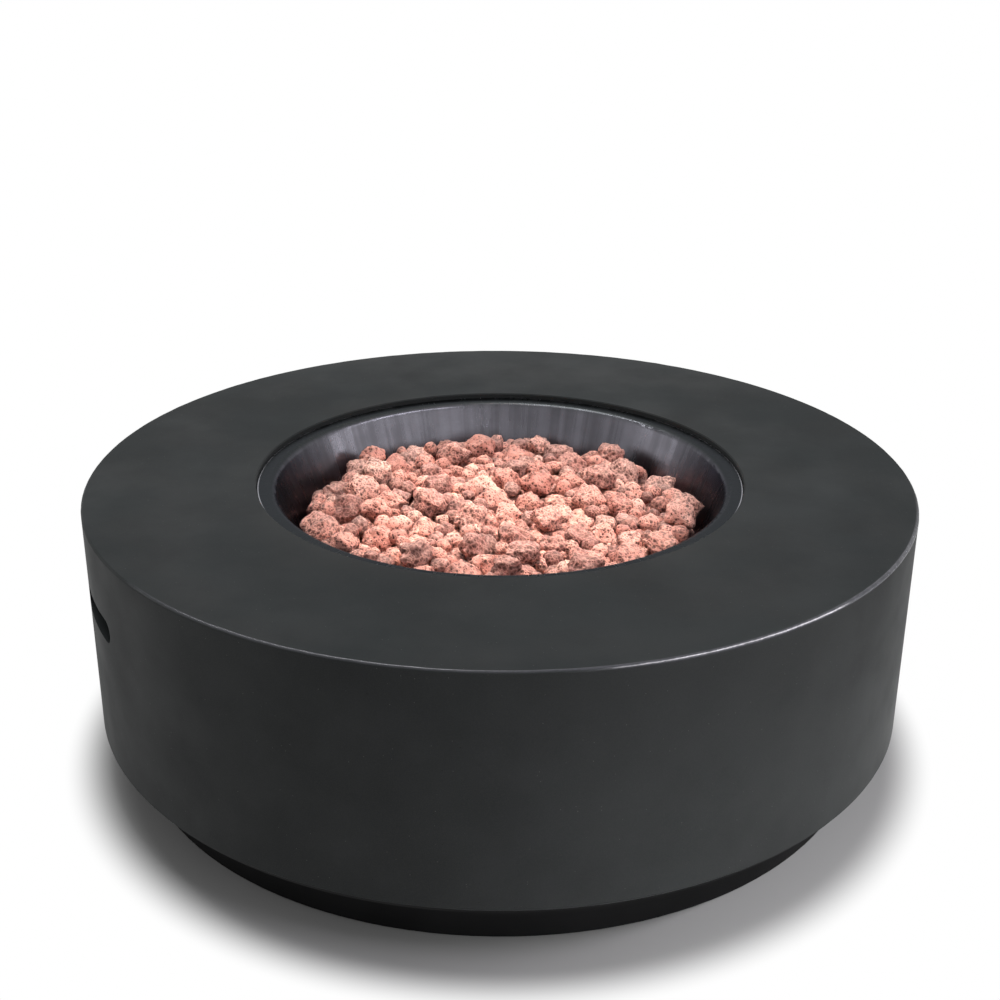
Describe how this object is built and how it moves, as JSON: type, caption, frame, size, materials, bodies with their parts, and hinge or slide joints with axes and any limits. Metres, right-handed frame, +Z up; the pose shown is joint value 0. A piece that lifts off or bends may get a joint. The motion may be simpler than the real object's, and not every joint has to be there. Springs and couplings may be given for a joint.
{
  "type": "fire pit table",
  "caption": "Round gas fire pit table: cast concrete drum on a recessed steel plinth, with a drop-in steel bowl of lava rock over a ring burner and a valve and igniter panel at the back.",
  "frame": {"origin": "on the ground under the centre of the table, at the underside of the rubber pads", "axes": "+Z up; -Y is the side the picture shows, and the control panel and gas inlet are at +Y"},
  "size_m": [1.0668, 1.0668, 0.366],
  "materials": {
    "concrete": "satin",
    "plinth_black": "satin",
    "stainless": "satin",
    "fasteners": "satin",
    "brass": "satin",
    "black_steel": "satin",
    "black_plastic": "matte",
    "rubber": "matte",
    "white_ceramic": "gloss",
    "copper_lead": "satin",
    "lava_rock": "matte"
  },
  "bodies": {
    "table": {"concrete_body": "concrete", "base_plinth": "plinth_black", "inlet_bracket": "plinth_black", "fire_bowl": "stainless", "heat_shield": "stainless", "burner_ring": "stainless", "burner_legs": "stainless", "control_panel": "stainless", "pilot_bracket": "stainless", "plinth_bolts": "fasteners", "shield_spacers": "fasteners", "shield_nuts": "fasteners", "panel_screws": "fasteners", "valve_nut": "fasteners", "bracket_bolts": "fasteners", "electrode_rod": "fasteners", "body_inserts": "brass", "burner_locknuts": "brass", "burner_stub": "brass", "air_mixer": "brass", "gas_orifice": "brass", "gas_valve": "brass", "inlet_fitting": "brass", "inlet_nut": "brass", "hose_nuts": "brass", "supply_tube": "brass", "igniter_body": "black_plastic", "igniter_nut": "black_plastic", "foot_pads": "rubber", "burner_hose": "rubber", "ignition_wire": "rubber", "electrode_insulator": "white_ceramic", "flame_sensor": "copper_lead", "sensor_lead": "copper_lead", "lava_rocks_lower": "lava_rock", "lava_rocks_upper": "lava_rock"},
    "valve_plug": {"valve_plug": "brass"},
    "knob": {"valve_stem": "fasteners", "control_knob": "black_steel"},
    "button": {"igniter_button": "black_plastic"},
    "shutter": {"air_shutter": "stainless", "shutter_screw": "fasteners"}
  },
  "joints": [
    {"name": "knob_turn", "type": "hinge", "parent": "table", "child": "valve_plug", "pos_m": [-0.034, 0.49, 0.22], "axis": [0, 1, 0], "range_deg": [0, 215]},
    {"name": "knob_push", "type": "slide", "parent": "valve_plug", "child": "knob", "axis": [0, -1, 0], "range_m": [0, 0.003], "stiffness_N_per_m": 900, "springref_m": -0.002},
    {"name": "button_push", "type": "slide", "parent": "table", "child": "button", "axis": [0, -1, 0], "range_m": [0, 0.005], "stiffness_N_per_m": 800, "springref_m": -0.002},
    {"name": "shutter_turn", "type": "hinge", "parent": "table", "child": "shutter", "pos_m": [0, 0, 0.18], "axis": [0, 0, 1], "range_deg": [0, 90]}
  ]
}
